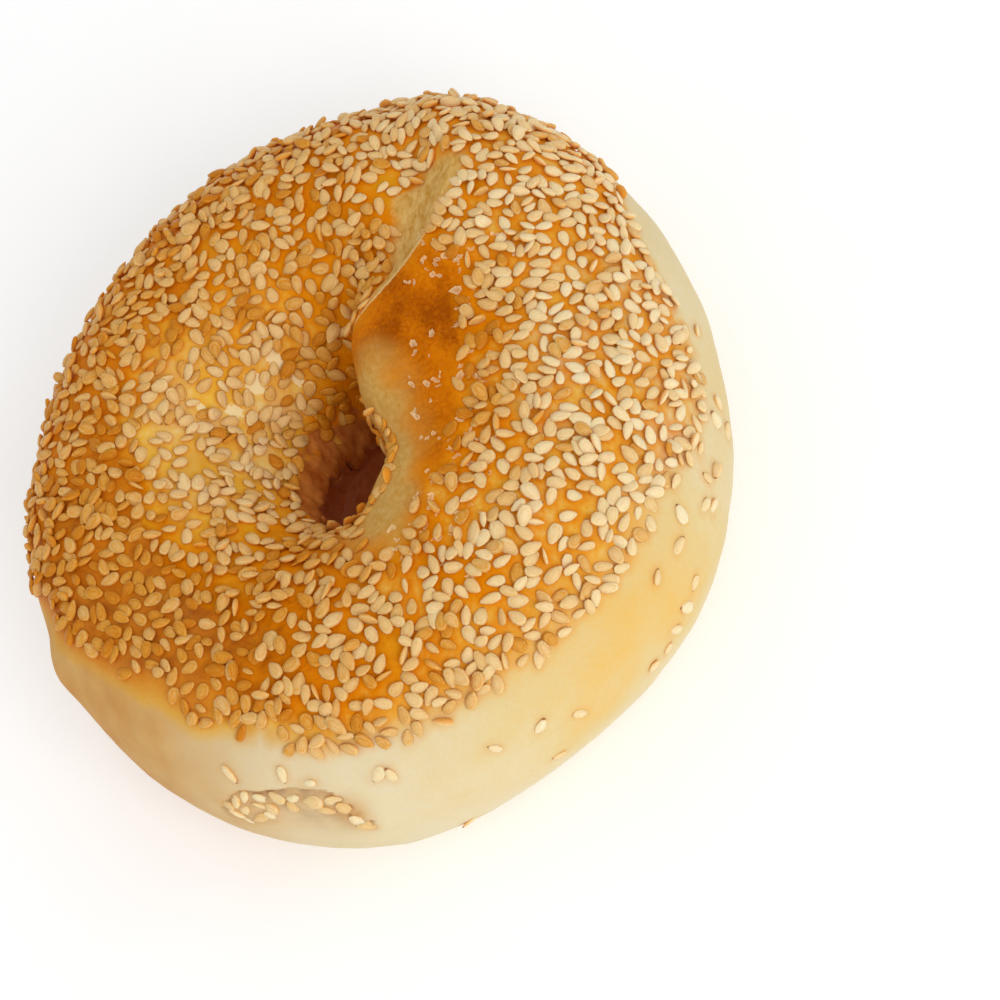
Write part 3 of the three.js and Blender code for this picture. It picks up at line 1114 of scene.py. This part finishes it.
def crustFinish():
    look = Finish("crust")
    medium = look.noise(330, 3)
    fine = look.noise(1500, 4, 0.65)
    browned = look.attribute("browned")
    mottling = look.math("MULTIPLY_ADD", browned, 0.14, 0.07)
    bake = look.vary(look.attribute("bake"), look.noise(85, 3), mottling)
    bake = look.vary(bake, medium, mottling)
    grain = look.math("MULTIPLY_ADD", browned, 0.40, 0.12)
    grain = look.math("MULTIPLY_ADD", look.attribute("bald"), -0.20, grain)
    bake = look.vary(bake, fine, grain)
    # painted shade and glow round each seed: the crust turns a saturated orange next to the seeds
    seedShadeAndGlow = look.times(look.math("MULTIPLY_ADD", browned, 0.8, 0.2), look.attribute("seedShadeAndGlow"))
    seedShadeAndGlow = look.times(seedShadeAndGlow, look.math("MULTIPLY_ADD", look.attribute("golden"), -0.68, 1.0))
    bake = look.math("MULTIPLY_ADD", seedShadeAndGlow, 0.10, bake, clamp=True)
    color = look.ramp(bake, *crustColors["baked"])
    color = look.cover(color, "golden", look.ramp(bake, *crustColors["golden"]))
    color = look.mix(look.times(seedShadeAndGlow, 0.80), color, seen(224, 131, 2))
    # painted shade, a dull tan on the side
    color = look.cover(color, "sideShade", look.ramp(medium, *crustColors["sideShade"]), 0.9)
    stained = look.math("MULTIPLY_ADD", medium, 0.9, 0.2)
    color = look.cover(color, "stain", seen(214, 150, 22), stained)
    # specks of starch, most of them on the bald patch
    specks = look.ramp(look.noise(2400, 3, 0.7), (0.62, 0), (0.78, 1))
    speckled = look.math("MULTIPLY_ADD", look.attribute("bald"), 0.30, 0.15)
    color = look.mix(look.times(specks, speckled), color, seen(240, 186, 96))
    lip = look.ramp(look.noise(1100, 4, 0.65), *crustColors["lip"])
    color = look.cover(color, "lip", look.cover(seen(208, 138, 36), "lip", lip), 0.90)
    # the stretched dough in the valley, its noise drawn out along the rope
    stretch = {"Vector": look.place, "Rotation": (0.0, 0.0, math.radians(20)), "Scale": (1.9, 0.9, 1.0)}
    streaks = look.noise(620, 5, 0.68, look.add("Mapping", stretch).outputs["Vector"])
    color = look.cover(color, "valley", look.ramp(streaks, *crustColors["valley"]))
    flour = look.vary(look.attribute("starch"), look.noise(1900, 3, 0.6), 1.8)
    flour = look.ramp(flour, (0.50, 0), (0.66, 1))
    color = look.mix(look.times(flour, 0.8), color, seen(244, 226, 176))
    color = look.mix(crestLine(look), color, seen(232, 196, 128))
    # the torn patch's tan, darkest just under the crease as painted shade, painted shade along the crease
    # line, and the torn wall's own brown
    for zone, strength in (("tear", 0.8), ("crease", 0.8), ("wall", None)):
        color = look.cover(color, zone, look.ramp(medium, *crustColors[zone]), strength)
    color = look.cover(color, "under", seen(196, 116, 62))
    look.put(look.shader, crustLook)
    look.put(look.shader, {
        "Base Color": color,
        "Roughness": look.ramp(bake, (0.1, 0.6), (0.8, 0.46)),
        "Normal": look.bump(fine, 0.35, 0.00018, look.bump(medium, 0.25, 0.0006)),
    })
    return look.material


seedLook = {
    "Roughness": 0.36,
    "Specular IOR Level": 0.13,
    "Specular Tint": (1.0, 0.88, 0.66, 1.0),
    "Subsurface Weight": 0.25,
    "Subsurface Radius": (0.0014, 0.0008, 0.0003),
    "Subsurface Scale": 1.0,
}


def seedFinish():
    look = Finish("sesame")
    across = look.math("SUBTRACT", look.attribute("across"), 0.5)
    along = look.math("SUBTRACT", look.attribute("along"), 0.5)
    toast = look.attribute("toast")
    grain = look.noise(2600)
    # faint lines run from end to end
    lengthwise = look.add("CombineXYZ", {
        "X": look.times(along, 3.0),
        "Y": look.times(across, 16.0),
        "Z": look.times(toast, 60.0),
    })
    lines = look.noise(1.0, place=lengthwise.outputs["Vector"])
    # the rim is a light ridge with a darker line inside it
    square = look.math("MULTIPLY_ADD", across, across, look.times(along, along))
    outward = look.times(look.math("SQRT", square), 2.0)
    rim = look.ramp(
        outward, (0.0, 0.40), (0.46, 0.42), (0.64, 0.68), (0.78, 0.22), (0.90, 0.34), (1.0, 0.62)
    )
    tone = look.vary(look.vary(toast, rim, 0.36), lines, 0.50)
    tone = look.vary(tone, grain, 0.14, clamp=True)
    color = look.ramp(
        tone,
        (0.0, (242, 224, 184)),
        (0.25, (236, 206, 154)),
        (0.55, (224, 180, 114)),
        (0.8, (212, 147, 50)),
        (1.0, (196, 118, 18)),
    )
    # painted glow on the lower sides, the warm light from the crust, and some points are brown
    lowerSideGlow = look.ramp(look.attribute("upper"), (0.28, 1), (0.74, 0))
    color = look.mix(look.times(lowerSideGlow, 0.66), color, seen(236, 157, 48))
    point = look.times(look.math("SUBTRACT", along, 0.37), 11.0, clamp=True)
    color = look.mix(look.times(point, look.attribute("tip")), color, seen(150, 88, 36))
    normal = look.bump(lines, 0.5, 0.00004, look.bump(rim, -0.35, 0.00005))
    look.put(look.shader, seedLook)
    look.put(look.shader, {"Base Color": color, "Normal": look.bump(grain, 0.2, 0.00006, normal)})
    return look.material


hulls = {
    "count": 160,
    "randomStart": 17,
    "size": (0.0005, 0.0015),  # least size, and how much larger the largest are
    "narrowness": (0.25, 0.8),
    "raggedness": 0.09,
    "curl": 0.9,
    "lift": 0.00012,
    "tilt": 24,
    "clearness": (0.34, 0.22),  # how much denser the edge is, and the middle
}

hullLook = {
    "Base Color": seen(250, 224, 172),
    "Roughness": 0.2,
    "Specular IOR Level": 0.5,
    "Specular Tint": (1.0, 0.92, 0.74, 1.0),
}


def hullFinish():
    look = Finish("seedHull")
    look.put(look.shader, hullLook)
    alpha = look.math("MULTIPLY_ADD", look.attribute("edge"), *hulls["clearness"])
    look.put(look.shader, {"Alpha": alpha})
    return look.material


def hullCover(places, zones):
    # most of the loose hulls lie on the near side of the bald patch
    x, y, z = fromMiddle(places).T
    region = rise(x, 0.010, 0.005) * fall(x, 0.030, 0.010) * rise(y, -0.030, 0.010) * fall(y, 0.030, 0.008)
    edge = 1 - smoothStep(np.abs(zones["bald"] - 0.3) / 0.45)
    return region * (z > 0.030) * (0.25 + edge) * (1 - 0.8 * zones["lip"])


def addHulls(mesh, zones, look):
    random = np.random.default_rng(look["randomStart"])
    bpy.ops.mesh.primitive_circle_add(vertices=9, radius=0.5, fill_type="TRIFAN")
    model = bpy.context.object
    flake = readPlaces(model.data)
    faces = [tuple(face.vertices) for face in model.data.polygons]
    bpy.data.objects.remove(model)
    spots, ups, alongs = crustSampler(mesh, hullCover(readPlaces(mesh), zones), random)(look["count"])
    shapes = []
    for spot, up, along in zip(spots, ups, alongs):
        size = look["size"][0] + look["size"][1] * random.beta(1.3, 2.6)
        shape = flake * (1.0, random.uniform(*look["narrowness"]), 1.0)
        shape = shape + random.normal(0, look["raggedness"], flake.shape)
        shape[:, 2] = look["curl"] * (shape[:, 0] ** 2 + shape[:, 1] ** 2)
        roll = np.array(turned(random.normal(0, look["tilt"]), "X"))
        shapes.append(shape * size @ roll.T @ basisOf(up, along).T + spot + up * look["lift"])
    piece = meshFrom("hullFlecks", shapes, faces)
    edge = (np.hypot(flake[:, 0], flake[:, 1]) > 0.3).astype(float)
    setAttribute(piece.data, "edge", np.tile(edge, look["count"]))
    piece.data.materials.append(hullFinish())
    return piece


def seedShadeAndGlowOf(mesh, entries, look):
    # how close each crust vertex lies to a seed, for the painted shade and glow round the seeds
    tree = KDTree(len(entries) * 3)
    for entry in entries:
        for offset in look["discOffsets"]:
            tree.insert(Vector(entry["spot"] + offset * entry["along"]), 0)
    tree.balance()
    near = np.array([tree.find(Vector(place))[2] for place in readPlaces(mesh)])
    return 1 - rise(near, *look["seedShadeAndGlow"])


lower, upper, random = scatterSeeds(crust.data, zones, scatter)
for look in strays.values():
    lower += findStrays(crust.data, look, random)
entries = lower + upper
print(len(entries), "seeds scattered,", len(upper), "on top of others")

zones["seedShadeAndGlow"] = seedShadeAndGlowOf(crust.data, lower, scatter)
crust.vertex_groups.clear()
for name, values in zones.items():
    setAttribute(crust.data, name, values)
crust.data.materials.append(crustFinish())

sesame = seedFinish()
shares = [look["share"] for look in seedKinds.values()]
picks = random.choice(len(seedKinds), size=len(entries), p=shares)
seedPieces = []
for number, name in enumerate(seedKinds):
    mine = [entry for entry, pick in zip(entries, picks) if pick == number]
    model = modelSeed(name, seedKinds[name])
    seedPieces.append(buildSeeds(name, model, mine, random, scatter, sesame))
    print(name, len(mine))

hullFlecks = addHulls(crust.data, zones, hulls)
dressed = [(crust, "crust"), (hullFlecks, "seed_hulls")] + [(piece, "sesame") for piece in seedPieces]
for piece, slotName in dressed:
    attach(piece, "root")
    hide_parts("bagel")


# Floor and lights

studio = {
    "floorSize": 3.0,
    "floorGrain": (40, (0.3, 0.95), (0.7, 0.97)),
    "world": 0.75,
    "key": {"toward": (0.64, -0.56, 0.53), "distance": 2.2, "size": 1.2, "power": 18.0},
}

paperLook = {
    "Roughness": 0.8,
    "Specular IOR Level": 0.1,
    # the paper glows a little: painted light that keeps the floor white and fills the shade round the
    # bagel
    "Emission Color": (1.0, 1.0, 1.0, 1.0),
    "Emission Strength": 0.15,
}


def addFloor(look):
    bpy.ops.mesh.primitive_plane_add(size=look["floorSize"])
    floor = bpy.context.object
    floor.name = "floor"
    paper = Finish("paper")
    scale, *stops = look["floorGrain"]
    paper.put(paper.shader, paperLook)
    paper.put(paper.shader, {"Base Color": paper.ramp(paper.noise(scale), *stops)})
    floor.data.materials.append(paper.material)


def addLamp(name, look):
    place = Vector(look["toward"]).normalized() * look["distance"]
    bpy.ops.object.light_add(type="AREA", location=place)
    lamp = bpy.context.object
    lamp.name = name
    lamp.rotation_mode = "QUATERNION"
    lamp.rotation_quaternion = place.to_track_quat("Z", "Y")
    lamp.data.size = look["size"]
    lamp.data.energy = look["power"]


addFloor(studio)
addLamp("keyLamp", studio["key"])
world = bpy.data.worlds.new("studio")
bpy.context.scene.world = world
world.use_nodes = True
background = world.node_tree.nodes["Background"].inputs
background["Color"].default_value = (1, 1, 1, 1)
background["Strength"].default_value = studio["world"]
bpy.context.scene.view_settings.view_transform = "Standard"
